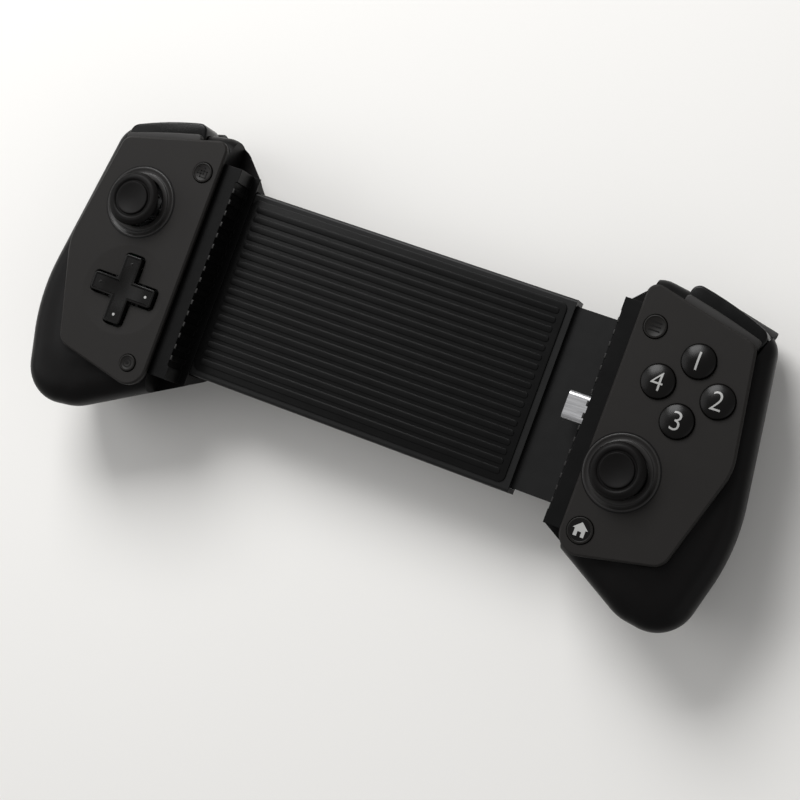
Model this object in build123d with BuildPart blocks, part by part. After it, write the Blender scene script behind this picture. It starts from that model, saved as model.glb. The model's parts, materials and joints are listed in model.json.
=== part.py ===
"""Telescopic game controller that clamps a phone between two grips.

It lies on its back: +Z points out of the face, +X to the right and +Y towards the bumpers. The origin
is the centre of the deck that the phone lies on. Each grip is drawn for the right hand and mirrored for
the left. Lengths are in millimetres.
"""

import os
from math import acos, cos, degrees, hypot, radians, sin, sqrt

from build123d import *

os.makedirs("parts", exist_ok=True)

# Phone bay, as photographed with a phone in it
bay_length = 122.4  # between the two clamp pads
bay_depth = 12.0  # deck to the controller's face
overrun = 30.0  # how far a cut runs past what it cuts

# Grip housings
wall = 1.8
pad_overhang = 2.2  # the grip's foot reaches this far under the phone
grip_width = 52.0
grip_height = 90.0
grip_bottom = -49.2
grip_back = -24.0  # the flat patch that the controller rests on
parting_z = -5.0  # where the front and back shells meet
dome_z = 9.8  # top of the domed palm rest
ledge_z = -0.6  # floor under the clamp pad
# Corners of the grip's widest outline, as shares of its width and height from its lower inner corner
grip_corner_shares = [
    (-0.173, 0.808), (0.160, 1.006), (0.865, 0.939), (1.025, 0.308), (0.875, -0.028), (0.565, -0.004),
    (-0.187, 0.240),
]
grip_corner_radii = [2.0, 8.0, 7.0, 60.0, 11.5, 14.0, 2.0]
grip_centre_shares = (0.442, 0.452)
# How the outline draws in: share of the height from the back to the dome, and the outline's scale there
level_shares = [
    (0.0, 0.58), (0.047, 0.72), (0.18, 0.845), (0.36, 0.92), (0.6, 0.972), (0.885, 0.997), (0.951, 0.928),
    (0.981, 0.818), (0.996, 0.704), (1.0, 0.6),
]
hollow_level_shares = [(0.0, 0.6), (0.18, 0.82), (0.56, 0.955), (0.88, 0.98), (1.0, 0.82)]

# Faceplates
plate_thickness = 1.6
plate_inset = 5.6  # clamp pad face to the faceplate's inner edge
plate_width = 39.2
plate_height = 79.6
plate_bottom = -40.0
plate_reveal = 0.6  # the housing under the plate is this much smaller all round
plate_edge = 0.5
plate_corner_shares = [(0.0, 1.0), (0.855, 0.898), (1.0, 0.465), (0.77, 0.084), (0.0, 0.0)]
plate_corner_radii = [3.0, 3.5, 18.0, 5.0, 6.0]

# Places of the controls on the faceplate, as shares of its width and height
left_stick_shares = (0.528, 0.678)
right_stick_shares = (0.2755, 0.339)
dpad_shares = (0.401, 0.348)
face_button_shares = (0.518, 0.673)
share_button_shares = (0.125, 0.857)
capture_button_shares = (0.158, 0.098)
menu_button_shares = (0.145, 0.847)
home_button_shares = (0.145, 0.106)

# Circuit boards
board_z = 0.4
board_thickness = 1.2
board_gap = 0.8

# Sticks
stick_pivot_rise = 3.2  # pivot over the board
stick_case = 13.0
stick_case_height = 5.8
stick_case_wall = 1.2
stick_case_floor = 0.6
stick_case_mouth = 4.7
stick_case_lid = 0.8
stick_press = 0.5
stick_tilt = 14.0  # each way, left to right and up and down
carrier_gap = 0.2
carrier_wall = 1.1
carrier_height = 3.2
gimbal_half = 3.2
gimbal_wall = 1.0
gimbal_height = 2.0
trunnion_radius = 0.8
cross_pin_radius = 0.55
running_gap = 0.05
stem_radius = 1.4
cap_radius = 8.0
cap_height = 13.6  # rim over the pivot
cap_sag = 0.3
cap_flare = 0.7
hub_radius = 1.6
stem_top = 10.9
cap_rim = 1.1
cap_dish = 1.0
cap_thickness = 2.0
cap_neck_radius = 3.5
skirt_radius = 7.4
skirt_wall = 0.8
collar_radius = 10.5
collar_step_radius = 8.8
collar_bore_radius = 7.4
collar_tube_radius = 8.3
collar_rise = 0.5
collar_step_rise = 0.4
collar_depth = 2.8

# Directional pad
dpad_span = 21.2
dpad_arm = 5.8
dpad_corner = 0.9
dpad_rise = 1.9
dpad_dish = 0.7
dpad_gap = 0.5
dpad_tilt = 5.0
dpad_flange_radius = 11.2
dpad_flange_thickness = 0.8
dpad_flange_drop = 2.4  # faceplate underside to the flange's top
dpad_pivot_drop = 0.2
dpad_thickness = 2.6
dpad_edge = 0.5
dpad_dish_radius = 7.5
dish_radius = 13.5
dish_depth = 0.5
dish_slope = 9.0
dpad_swing_room = 0.9

# Round buttons
button_gap = 0.2
flange_width = 0.9
small_flange = 0.5
flange_thickness = 1.0
seat_gap = 0.15
face_button_radius = 4.75
face_button_rise = 1.9
face_button_dome = 1.0
face_button_travel = 1.3
face_button_spread = 8.6
small_button_travel = 0.8
small_button_rise = 0.5
small_button_dome = 0.25
share_button_radius = 3.0
capture_button_radius = 2.5
menu_button_radius = 3.25
home_button_radius = 3.7
foot_radius = 1.6
membrane_thickness = 0.5
dome_height = 1.4
dome_radius = 2.4
dome_slope = 35.0
dome_sides = 8

# Shoulder controls, in a frame that follows the faceplate's top edge
shoulder_centre_shares = (0.561, 0.933)
bumper_half = 12.6
bumper_end_drop = 3.5
bumper_round = 1.6
bumper_proud = 5.4
bumper_inner = 1.6
bumper_travel = 1.0
bumper_gap = 0.3
bumper_drop = 0.3  # faceplate underside to the bumper's front ledge
bumper_ledge = 2.6
bumper_step = 2.1
bumper_base = -1.9
bumper_edge = 0.6
bumper_bulge = 1.2
trigger_half = 11.9
trigger_pin_radius = 1.0
trigger_pin_y = -2.2
trigger_pin_drop = 3.1  # bumper base to the pin
trigger_gap = 0.4
trigger_reach = 13.2
# Corners of the trigger's section, as shares of its reach from the pin: outwards, then up
trigger_crest_shares = (0.53, 0.18)
trigger_tip_shares = (0.71, -0.95)
trigger_heel_shares = (0.28, -0.93)
trigger_waist_shares = (0.05, -0.42)
trigger_boss = 2.4
trigger_bulge = 1.0
trigger_edge = 0.5
trigger_taper = 14.0
pin_seat = 1.4

# Screws that hold each housing together
boss_radius = 2.4
back_boss_radius = 3.2
screw_radius = 1.0
screw_head_radius = 1.9
screw_head_height = 1.3
screw_drive_radius = 0.9
screw_drive_sides = 6
screw_drive_floor = 0.6
screw_seat = 3.0  # head to the parting line
screw_bite = 4.5
thread_gap = 0.02
screw_place_shares = [(0.13, 0.944), (0.834, 0.377), (0.64, 0.0125)]

# Telescopic bridge
bridge_width = 58.0
bridge_thickness = 6.8
bridge_wall = 1.4
bridge_seat = 8.0  # how deep channel and rail sit in their grips
bridge_gap = 0.3
bridge_edge = 0.9
rail_thickness = 3.4
slide_closed = -12.4  # travel of the right grip from the photographed opening
slide_open = 57.6
closed_gap = 0.6  # channel's free end to the right grip when closed
rail_overlap = 10.4  # rail still in the channel when open
cover_thickness = 1.2
deck_pad_thickness = 0.6
deck_pad_margin = 2.0
spring_radius = 1.5
spring_offset = 17.0
spring_wire = 0.45
flex_width = 9.0
flex_thickness = 0.25
flex_swing = 0.4
flex_folds = 16
flex_tunnel = 1.6

# Clamp pads
pad_height = 9.4
pad_half_width = 33.0
pad_rib_pitch = 3.5
pad_rib_width = 1.5
pad_rib_depth = 0.6
pad_rib_count = 17

# Plug for the phone and the charging socket
plug_width = 8.34
plug_thickness = 2.56
plug_length = 6.65
plug_wall = 0.3
plug_z = 4.25
plug_boot_width = 11.6
plug_boot_height = 5.2
plug_boot_length = 3.4
plug_boot_gap = 0.5
plug_boot_edge = 0.8
plug_root = 1.5
plug_pin_radius = 0.8
plug_pin_length = 1.2
socket_width = 9.2
socket_height = 3.4
socket_depth = 7.5
socket_wall = 0.35
socket_share = 0.62  # place along the grip's slanted lower wall
socket_recess = 1.3
socket_tongue = 0.7
socket_tongue_width = 6.7

# Places that follow
foot_x = bay_length / 2 - pad_overhang
plate_x = bay_length / 2 + plate_inset
face_z = bay_depth
plate_z = face_z - plate_thickness
roof_z = plate_z - wall
board_top = board_z + board_thickness
bridge_base = ledge_z - bridge_thickness
seat_x = foot_x + bridge_seat
platform_x = plate_x + plate_reveal
plug_pivot_x = bay_length / 2 + plug_boot_gap + plug_boot_length / 2
carrier_half = stick_case / 2 - stick_case_wall - carrier_gap
stick_pivot_z = board_top + stick_pivot_rise
screw_seat_z = parting_z - screw_seat
bridge_reach = foot_x + slide_closed - closed_gap
rail_start = bridge_reach - rail_overlap - slide_open
skirt_inner = skirt_radius - skirt_wall
skirt_low = stick_case_height - stick_pivot_rise + stick_press + seat_gap
skirt_angle = degrees(acos(skirt_low / skirt_inner)) - hypot(stick_tilt, stick_tilt)


def save(piece, name):
    """Label a finished piece and write it."""
    piece.label = name
    export_step(piece, f"parts/{name}.step")


def for_side(piece, side):
    """The right hand's piece, or its mirror image for the left hand."""
    return piece if side == "right" else mirror(piece, about=Plane.YZ, mode=Mode.PRIVATE)


def plate_point(shares):
    """A place on the right faceplate."""
    return plate_x + shares[0] * plate_width, plate_bottom + shares[1] * plate_height


def place(side, shares):
    """A place on the left or right faceplate."""
    x, y = plate_point(shares)
    return (x if side == "right" else -x), y


def plate_sketch(inset, z):
    """The faceplate's five-cornered outline, drawn in by inset."""
    with BuildSketch(Plane.XY.offset(z)) as outline:
        with BuildLine():
            corners = [plate_point(shares) for shares in plate_corner_shares]
            FilletPolyline(*corners, radius=plate_corner_radii, close=True)
        make_face()
        if inset:
            offset(amount=-inset)
    return outline.sketch


def grip_point(shares, scale, inset):
    """A point of the grip's outline, drawn towards the grip's centre."""
    centre_x = foot_x + grip_centre_shares[0] * grip_width
    centre_y = grip_bottom + grip_centre_shares[1] * grip_height
    across = (foot_x + shares[0] * grip_width - centre_x) * scale
    up = (grip_bottom + shares[1] * grip_height - centre_y) * scale
    kept = 1 - inset / hypot(across, up)
    return centre_x + across * kept, centre_y + up * kept


def grip_body(inset, level_table, straight):
    """The moulded grip, lofted through its sections and cut flat at the foot."""
    with BuildPart() as body:
        for share, scale in level_table:
            z = grip_back + inset + share * (dome_z - grip_back - 2 * inset)
            with BuildSketch(Plane.XY.offset(z)):
                with BuildLine():
                    FilletPolyline(
                        *[grip_point(shares, scale, inset) for shares in grip_corner_shares],
                        radius=[radius * scale for radius in grip_corner_radii],
                        close=True,
                    )
                make_face()
        loft(ruled=straight)
        split(bisect_by=Plane.YZ.offset(foot_x + inset), keep=Keep.TOP)
    return body.part


def shoulder_plane():
    """Frame of the bumper and trigger: x outwards along the plate's top edge, y out of the grip."""
    inner = plate_point(plate_corner_shares[0])
    outer = plate_point(plate_corner_shares[1])
    centre = plate_point(shoulder_centre_shares)
    return Plane(
        origin=(centre[0], centre[1], 0),
        x_dir=(outer[0] - inner[0], outer[1] - inner[1], 0),
        z_dir=(0, 0, 1),
    )


shoulder = shoulder_plane()
shoulder_side = Plane(origin=shoulder.origin, x_dir=shoulder.y_dir, z_dir=shoulder.x_dir)
lower_inner, lower_outer = [grip_point(grip_corner_shares[index], 1, 0) for index in (-1, -2)]
lower_run = (lower_outer[0] - lower_inner[0], lower_outer[1] - lower_inner[1])
socket_rim = Plane(
    origin=(
        lower_inner[0] + socket_share * lower_run[0],
        lower_inner[1] + socket_share * lower_run[1],
        board_z - socket_height / 2,
    ),
    x_dir=(lower_run[0], lower_run[1], 0),
    z_dir=(-lower_run[1], lower_run[0], 0),
)
socket_plane = socket_rim.offset(socket_recess)
bumper_top = plate_z - bumper_drop
pin_z = bumper_base - trigger_pin_drop
bay_inner = bumper_inner + bumper_travel + bumper_gap
trigger_inner = trigger_boss + trigger_gap - trigger_pin_y
pin_half = bumper_half + bumper_gap + pin_seat


def shoulder_bay(extra):
    """The opening in the shell for the bumper and trigger, grown by extra on every side."""
    half = bumper_half + bumper_gap + extra
    low = grip_back - overrun
    mid = bumper_base - bumper_gap
    with BuildPart() as bay:
        with BuildSketch(shoulder_side.offset(-half)):
            with BuildLine():
                Polyline(
                    (-bay_inner - extra, plate_z + extra),
                    (-bay_inner - extra, mid),
                    (-trigger_inner - extra, mid),
                    (-trigger_inner - extra, pin_z - trigger_inner - extra),
                    (trigger_pin_y - extra, grip_back),
                    (trigger_pin_y - extra, low),
                    (overrun, low),
                    (overrun, plate_z + extra),
                    close=True,
                )
            make_face()
        extrude(amount=2 * half)
    return bay.part


def bridge_block(grow):
    """The room round the bridge's end inside a grip."""
    x0 = foot_x - grow
    x1 = seat_x + bridge_gap + grow
    z0 = bridge_base - bridge_gap - grow
    with BuildPart() as block:
        with Locations(((x0 + x1) / 2, 0, z0)):
            Box(
                x1 - x0,
                bridge_width + 2 * bridge_gap + 2 * grow,
                ledge_z - z0,
                align=(Align.CENTER, Align.CENTER, Align.MIN),
            )
    return block.part


def seat_cut(x, z):
    """Everything on the phone's side of x that is above z."""
    with BuildPart() as room:
        with Locations((x, 0, z)):
            Box(
                bay_length,
                2 * grip_height,
                overrun,
                align=(Align.MAX, Align.CENTER, Align.MIN),
            )
    return room.part


def housing_form():
    """The right housing before it is hollowed: grip, faceplate platform and shoulder bay."""
    with BuildPart() as form:
        add(grip_body(0, level_shares, False))
        add(seat_cut(platform_x, ledge_z), mode=Mode.SUBTRACT)
        extrude(plate_sketch(plate_reveal, parting_z), amount=plate_z - parting_z)
        add(shoulder_bay(0), mode=Mode.SUBTRACT)
    return form.part


def housing_hollow():
    """The space inside the right housing."""
    with BuildPart() as hollow:
        add(grip_body(wall, hollow_level_shares, True))
        add(seat_cut(platform_x + wall, ledge_z - wall), mode=Mode.SUBTRACT)
        extrude(plate_sketch(plate_reveal + wall, parting_z), amount=roof_z - parting_z)
        add(bridge_block(wall), mode=Mode.SUBTRACT)
        add(shoulder_bay(wall), mode=Mode.SUBTRACT)
    return hollow.part


def turned(points, z):
    """A solid of revolution about the local Z axis, from (radius, height) corners, raised to z."""
    with BuildPart() as piece:
        with BuildSketch(Plane.XZ):
            with BuildLine():
                Polyline(*points, close=True)
            make_face()
        revolve(axis=Axis.Z)
    return Pos(0, 0, z) * piece.part


def square_ring(half, thickness, height):
    """A square frame of the sticks' and pad's pivots, centred on the pivot."""
    with BuildPart() as ring:
        Box(2 * half, 2 * half, height)
        Box(2 * (half - thickness), 2 * (half - thickness), height, mode=Mode.SUBTRACT)
    return ring.part


def bearing_ring(height):
    """The frame that carries a gimbal's trunnions in two bearing holes along X."""
    with BuildPart() as ring:
        add(square_ring(carrier_half, carrier_wall, height))
        Cylinder(trunnion_radius + running_gap, 2 * carrier_half, rotation=(0, 90, 0), mode=Mode.SUBTRACT)
    return ring.part


def gimbal():
    """The tilting frame: trunnions along X, bearing holes for the cross pin along Y."""
    with BuildPart() as frame:
        Box(2 * gimbal_half, 2 * gimbal_half, gimbal_height)
        Cylinder(trunnion_radius, 2 * (carrier_half - running_gap), rotation=(0, 90, 0))
        inner = gimbal_half - gimbal_wall
        Box(2 * inner, 2 * inner, 2 * gimbal_height, mode=Mode.SUBTRACT)
        Cylinder(cross_pin_radius + running_gap, 2 * gimbal_half, rotation=(90, 0, 0), mode=Mode.SUBTRACT)
    return frame.part


def cross_pin_hub():
    """The hub and cross pin that turn in the gimbal, centred on the pivot."""
    with BuildPart() as hub:
        Cylinder(hub_radius, 2 * hub_radius, rotation=(90, 0, 0))
        Cylinder(cross_pin_radius, 2 * (gimbal_half - running_gap), rotation=(90, 0, 0))
    return hub.part


# Outer forms shared by the shells
right_form = housing_form()
right_hollow = housing_hollow()
front_form = split(right_form, bisect_by=Plane.XY.offset(parting_z), keep=Keep.TOP)
back_form = split(right_form, bisect_by=Plane.XY.offset(parting_z), keep=Keep.BOTTOM)

# Where the round holes of each side go: place, hole radius and flange radius
button_tables = {
    "left": [
        ("share_button", share_button_shares, share_button_radius),
        ("capture_button", capture_button_shares, capture_button_radius),
    ],
    "right": [
        ("menu_button", menu_button_shares, menu_button_radius),
        ("home_button", home_button_shares, home_button_radius),
    ],
}
stick_tables = {"left": left_stick_shares, "right": right_stick_shares}
face_x, face_y = place("right", face_button_shares)
face_places = [
    (face_x + face_button_spread * cos(radians(turn)), face_y + face_button_spread * sin(radians(turn)))
    for turn in (90, 0, 270, 180)
]
dpad_x, dpad_y = place("left", dpad_shares)


def round_holes(side):
    """Place, hole radius and pocket radius of every round button on one side."""
    holes = [
        (place(side, shares), radius + button_gap, radius + small_flange + button_gap)
        for name, shares, radius in button_tables[side]
    ]
    if side == "right":
        radius = face_button_radius
        holes += [(at, radius + button_gap, radius + flange_width + button_gap) for at in face_places]
    return holes


def cross_sketch(grow, z):
    """The directional pad's cross."""
    arm = dpad_arm + 2 * grow
    span = dpad_span + 2 * grow
    with BuildSketch(Plane.XY.offset(z)) as cross:
        with Locations((dpad_x, dpad_y)):
            Rectangle(span, arm)
            Rectangle(arm, span)
        outer = [v for v in cross.vertices() if hypot(v.X - dpad_x, v.Y - dpad_y) > span / 2]
        fillet(outer, dpad_corner + grow)
    return cross.sketch


def screw_places(side):
    """Where the screws that pull a pair of shells together stand."""
    return [place(side, shares) for shares in screw_place_shares]


def columns(side, radius, low, high):
    """Round columns at the screws, from one height to another."""
    with BuildPart() as posts:
        with BuildSketch(Plane.XY.offset(low)):
            with Locations(screw_places(side)):
                Circle(radius)
        extrude(amount=high - low)
    return posts.part


def bosses(side, radius, low, high, form):
    """Screw bosses, cut to the outside of the shell that they stand in."""
    with BuildPart() as posts:
        add(columns(side, radius, low, high))
        add(for_side(form, side), mode=Mode.INTERSECT)
    return posts.part


def hole_sketch(side, z, pockets):
    """The round buttons' holes, or the wider pockets for their flanges."""
    with BuildSketch(Plane.XY.offset(z)) as holes:
        for at, hole, pocket in round_holes(side):
            with Locations(at):
                Circle(pocket if pockets else hole)
    return holes.sketch


def disc(at, radius, z):
    """One round opening."""
    with BuildSketch(Plane.XY.offset(z)) as opening:
        with Locations(at):
            Circle(radius)
    return opening.sketch


def on_skirt(radius, angle):
    """A point of the stick skirt's section, by its angle from the stick's axis."""
    return radius * sin(radians(angle)), radius * cos(radians(angle))


def bumper_sketch(inset, z):
    """The bumper's outline, its curved outer side drawn in by inset."""
    with BuildSketch(shoulder.offset(z)) as outline:
        with BuildLine():
            outer_y = bumper_proud - inset
            inner_end = (-bumper_half, outer_y)
            outer_end = (bumper_half, outer_y - bumper_end_drop)
            SagittaArc(outer_end, inner_end, -bumper_bulge)
            Polyline(inner_end, (-bumper_half, -bumper_inner), (bumper_half, -bumper_inner), outer_end)
        make_face()
        fillet([v for v in outline.vertices() if v.Y > 0], bumper_round)
    return outline.sketch


def trigger_point(shares):
    """A point of the trigger's section, from its pin."""
    return trigger_pin_y + shares[0] * trigger_reach, pin_z + shares[1] * trigger_reach


def pin_rod(side, radius, half_length):
    """A rod along the trigger's hinge axis."""
    with BuildPart() as rod:
        with BuildSketch(shoulder_side.offset(-half_length)):
            with Locations((trigger_pin_y, pin_z)):
                Circle(radius)
        extrude(amount=2 * half_length)
    return for_side(rod.part, side)


def socket_hole():
    """The way in to the charging socket, through the right grip's lower wall."""
    with BuildPart() as way:
        start = socket_plane.offset(socket_depth)
        outline = slotted(socket_width + 2 * button_gap, socket_height + 2 * button_gap, start)
        extrude(outline, amount=-socket_depth - overrun)
    return way.part


def slotted(width, height, plane):
    """A rectangle with fully rounded ends, as on the plug and its socket."""
    with BuildSketch(plane) as outline:
        SlotOverall(width, height)
    return outline.sketch


for side in ("left", "right"):
    stick_at = place(side, stick_tables[side])
    stick_hole = collar_tube_radius + seat_gap

    with BuildPart() as front_shell:
        add(for_side(front_form - right_hollow, side))
        add(bosses(side, boss_radius, parting_z, plate_z - wall / 2, front_form))
        add(columns(side, screw_radius + thread_gap, parting_z, parting_z + screw_bite), mode=Mode.SUBTRACT)
        extrude(hole_sketch(side, board_top, True), amount=roof_z - board_top, mode=Mode.SUBTRACT)
        extrude(hole_sketch(side, board_top, False), amount=overrun, mode=Mode.SUBTRACT)
        extrude(disc(stick_at, stick_hole, board_top), amount=overrun, mode=Mode.SUBTRACT)
        if side == "left":
            opening = disc((dpad_x, dpad_y), dpad_flange_radius + dpad_swing_room, board_top)
            extrude(opening, amount=overrun, mode=Mode.SUBTRACT)
        else:
            add(socket_hole(), mode=Mode.SUBTRACT)
        add(for_side(bridge_block(0), side), mode=Mode.SUBTRACT)
        add(pin_rod(side, trigger_pin_radius + thread_gap, pin_half + thread_gap), mode=Mode.SUBTRACT)
    save(front_shell.part, f"{side}_front_shell")

    with BuildPart() as back_shell:
        add(for_side(back_form - right_hollow, side))
        add(bosses(side, back_boss_radius, grip_back - wall, parting_z, back_form))
        add(columns(side, screw_head_radius + button_gap, grip_back - wall, screw_seat_z), mode=Mode.SUBTRACT)
        add(columns(side, screw_radius + running_gap, screw_seat_z, parting_z), mode=Mode.SUBTRACT)
        add(for_side(bridge_block(0), side), mode=Mode.SUBTRACT)
        add(pin_rod(side, trigger_pin_radius + thread_gap, pin_half + thread_gap), mode=Mode.SUBTRACT)
    save(back_shell.part, f"{side}_back_shell")

    with BuildPart() as screws:
        add(columns(side, screw_head_radius, screw_seat_z - screw_head_height, screw_seat_z))
        add(columns(side, screw_radius, screw_seat_z, parting_z + screw_bite - thread_gap))
        with BuildSketch(Plane.XY.offset(screw_seat_z - screw_head_height)):
            with Locations(screw_places(side)):
                RegularPolygon(screw_drive_radius, screw_drive_sides)
        extrude(amount=screw_head_height - screw_drive_floor, mode=Mode.SUBTRACT)
    save(screws.part, f"{side}_screws")

    with BuildPart() as faceplate:
        extrude(for_side(plate_sketch(0, plate_z), side), amount=plate_thickness)
        chamfer(faceplate.faces().sort_by(Axis.Z)[-1].edges(), plate_edge)
        extrude(hole_sketch(side, plate_z, False), amount=plate_thickness, mode=Mode.SUBTRACT)
        extrude(disc(stick_at, stick_hole, plate_z), amount=plate_thickness, mode=Mode.SUBTRACT)
        if side == "left":
            with Locations((dpad_x, dpad_y, face_z - dish_depth)):
                Cone(
                    dish_radius - dish_slope,
                    dish_radius,
                    dish_depth,
                    align=(Align.CENTER, Align.CENTER, Align.MIN),
                    mode=Mode.SUBTRACT,
                )
            extrude(cross_sketch(dpad_gap, plate_z), amount=plate_thickness, mode=Mode.SUBTRACT)
    save(faceplate.part, f"{side}_faceplate")

    with BuildPart() as board:
        board_outline = plate_sketch(plate_reveal + wall + board_gap, board_z)
        extrude(for_side(board_outline, side), amount=board_thickness)
        add(for_side(shoulder_bay(wall + board_gap), side), mode=Mode.SUBTRACT)
        add(columns(side, boss_radius + bridge_gap, board_z, board_top), mode=Mode.SUBTRACT)
    save(board.part, f"{side}_circuit_board")

    # Stick: case on the board, carrier that is pressed down, gimbal, stem with its cap, and the collar
    pivot = Pos(stick_at[0], stick_at[1], stick_pivot_z)

    with BuildPart() as case:
        with Locations((stick_at[0], stick_at[1], board_top)):
            base = (Align.CENTER, Align.CENTER, Align.MIN)
            Box(stick_case, stick_case, stick_case_height, align=base)
            room = 2 * (carrier_half + carrier_gap)
        with Locations((stick_at[0], stick_at[1], board_top + stick_case_floor)):
            room_height = stick_case_height - stick_case_floor - stick_case_lid
            Box(room, room, room_height, align=base, mode=Mode.SUBTRACT)
            Cylinder(stick_case_mouth, stick_case_height, align=base, mode=Mode.SUBTRACT)
    save(case.part, f"{side}_stick_case")
    save(pivot * bearing_ring(carrier_height), f"{side}_stick_carrier")
    save(pivot * gimbal(), f"{side}_stick_gimbal")

    with BuildPart() as shaft:
        add(cross_pin_hub())
        Cylinder(stem_radius, stem_top, align=base)
    save(pivot * shaft.part, f"{side}_stick_shaft")

    bore = stem_radius + thread_gap
    with BuildPart() as cap:
        with BuildSketch(Plane.XZ):
            with BuildLine():
                under = cap_height - cap_thickness
                dish = Line((0, stem_top + seat_gap), (0, cap_height - cap_dish))
                hollow_end = (cap_radius - 2 * cap_rim, cap_height - cap_rim / 2)
                hollow_arc = SagittaArc(dish @ 1, hollow_end, -cap_sag)
                rim = Polyline(
                    hollow_arc @ 1,
                    (cap_radius - 1.5 * cap_rim, cap_height),
                    (cap_radius - cap_rim / 2, cap_height),
                    (cap_radius, under + cap_rim / 2),
                    (cap_radius - cap_rim / 2, under),
                    (cap_neck_radius + cap_flare, under - cap_flare),
                    (cap_neck_radius, under - 2 * cap_flare),
                    (cap_neck_radius, sqrt(skirt_radius**2 - cap_neck_radius**2)),
                )
                outer = RadiusArc(rim @ 1, on_skirt(skirt_radius, skirt_angle), skirt_radius)
                edge = Line(outer @ 1, on_skirt(skirt_inner, skirt_angle))
                inner = RadiusArc(edge @ 1, (bore, sqrt(skirt_inner**2 - bore**2)), -skirt_inner)
                Polyline(inner @ 1, (bore, stem_top + seat_gap), dish @ 0)
            make_face()
        revolve(axis=Axis.Z)
    save(pivot * cap.part, f"{side}_stick_cap")

    collar = turned(
        [
            (collar_bore_radius, collar_rise + collar_step_rise),
            (collar_bore_radius, -collar_depth),
            (collar_tube_radius, -collar_depth),
            (collar_tube_radius, 0),
            (collar_radius, 0),
            (collar_radius, collar_rise / 2),
            (collar_radius - collar_rise / 2, collar_rise),
            (collar_step_radius, collar_rise),
            (collar_step_radius, collar_rise + collar_step_rise / 2),
            (collar_step_radius - collar_step_rise / 2, collar_rise + collar_step_rise),
        ],
        face_z,
    )
    save(Pos(stick_at[0], stick_at[1], 0) * collar, f"{side}_stick_collar")

    # Bumper: a bar along the plate's top edge with a front ledge
    with BuildPart() as bumper:
        extrude(bumper_sketch(0, bumper_base), amount=bumper_top - bumper_step - bumper_base)
        extrude(bumper_sketch(bumper_ledge, bumper_base), amount=bumper_top - bumper_base)
        chamfer(bumper.faces().sort_by(Axis.Z)[-1].edges().sort_by(Axis.Y)[-1], bumper_edge)
    save(for_side(bumper.part, side), f"{side}_bumper")

    # Trigger: a curved lever that hangs from its pin
    with BuildPart() as trigger:
        with BuildSketch(shoulder_side.offset(-trigger_half)):
            with BuildLine():
                top_y, top_z = trigger_point(trigger_crest_shares)
                top = Line((trigger_pin_y, pin_z + trigger_boss), (top_y, pin_z + trigger_boss))
                outer = SagittaArc(top @ 1, trigger_point(trigger_tip_shares), trigger_bulge)
                back = Polyline(
                    outer @ 1,
                    trigger_point(trigger_heel_shares),
                    trigger_point(trigger_waist_shares),
                    (trigger_pin_y, pin_z - trigger_boss),
                )
                ThreePointArc(back @ 1, (trigger_pin_y - trigger_boss, pin_z), top @ 0)
            make_face()
        extrude(amount=2 * trigger_half)
        for way in (-1, 1):
            outwards = shoulder.x_dir * way * cos(radians(trigger_taper))
            downwards = shoulder.z_dir * sin(radians(trigger_taper))
            end = shoulder.from_local_coords((way * trigger_half, 0, pin_z))
            split(bisect_by=Plane(origin=end, z_dir=outwards - downwards), keep=Keep.BOTTOM)
        ends = trigger.faces().sort_by(Axis(shoulder.origin, shoulder.x_dir))
        chamfer([ends[0].edges(), ends[-1].edges()], trigger_edge)
        add(pin_rod("right", trigger_pin_radius + running_gap, pin_half), mode=Mode.SUBTRACT)
    save(for_side(trigger.part, side), f"{side}_trigger")
    save(pin_rod(side, trigger_pin_radius, pin_half), f"{side}_trigger_pin")


# Directional pad: a cross on a ring flange, rocking on a gimbal that a post on the board carries
dpad_pivot_z = roof_z - dpad_pivot_drop
dpad_top = face_z + dpad_rise
flange_top = plate_z - dpad_flange_drop
post_top = dpad_pivot_z + carrier_height / 2
post_corner = hypot(carrier_half, carrier_half) + dpad_swing_room
base = (Align.CENTER, Align.CENTER, Align.MIN)
dpad_at = Pos(dpad_x, dpad_y, dpad_pivot_z)

with BuildPart() as dpad_post:
    with Locations((dpad_x, dpad_y, board_top)):
        Box(2 * carrier_half, 2 * carrier_half, post_top - board_top, align=base)
    with Locations((dpad_x, dpad_y, post_top)):
        room = 2 * (carrier_half - carrier_wall)
        Box(room, room, 2 * (carrier_height + dpad_swing_room), mode=Mode.SUBTRACT)
    with Locations((dpad_x, dpad_y, dpad_pivot_z)):
        Cylinder(trunnion_radius + running_gap, 2 * carrier_half, rotation=(0, 90, 0), mode=Mode.SUBTRACT)
save(dpad_post.part, "dpad_post")
save(dpad_at * gimbal(), "dpad_gimbal")

with BuildPart() as dpad:
    extrude(cross_sketch(0, dpad_top - dpad_thickness), amount=dpad_thickness)
    chamfer(dpad.faces().sort_by(Axis.Z)[-1].edges(), dpad_edge)
    dish = dpad_dish_radius**2 / (2 * dpad_dish)
    with Locations((dpad_x, dpad_y, dpad_top - dpad_dish + dish)):
        Sphere(dish, mode=Mode.SUBTRACT)
    extrude(cross_sketch(-dpad_edge, flange_top), amount=dpad_top - dpad_thickness - flange_top)
    with Locations((dpad_x, dpad_y, flange_top)):
        Cylinder(dpad_flange_radius, dpad_flange_thickness, align=(Align.CENTER, Align.CENTER, Align.MAX))
    with Locations((dpad_x, dpad_y, flange_top - dpad_flange_thickness)):
        Cylinder(
            post_corner,
            dpad_top - dpad_thickness - flange_top + dpad_flange_thickness,
            align=base,
            mode=Mode.SUBTRACT,
        )
    add(dpad_at * cross_pin_hub())
    with Locations((dpad_x, dpad_y, dpad_pivot_z)):
        Cylinder(stem_radius, dpad_top - dpad_thickness - dpad_pivot_z, align=base)
save(dpad.part, "dpad")


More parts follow.
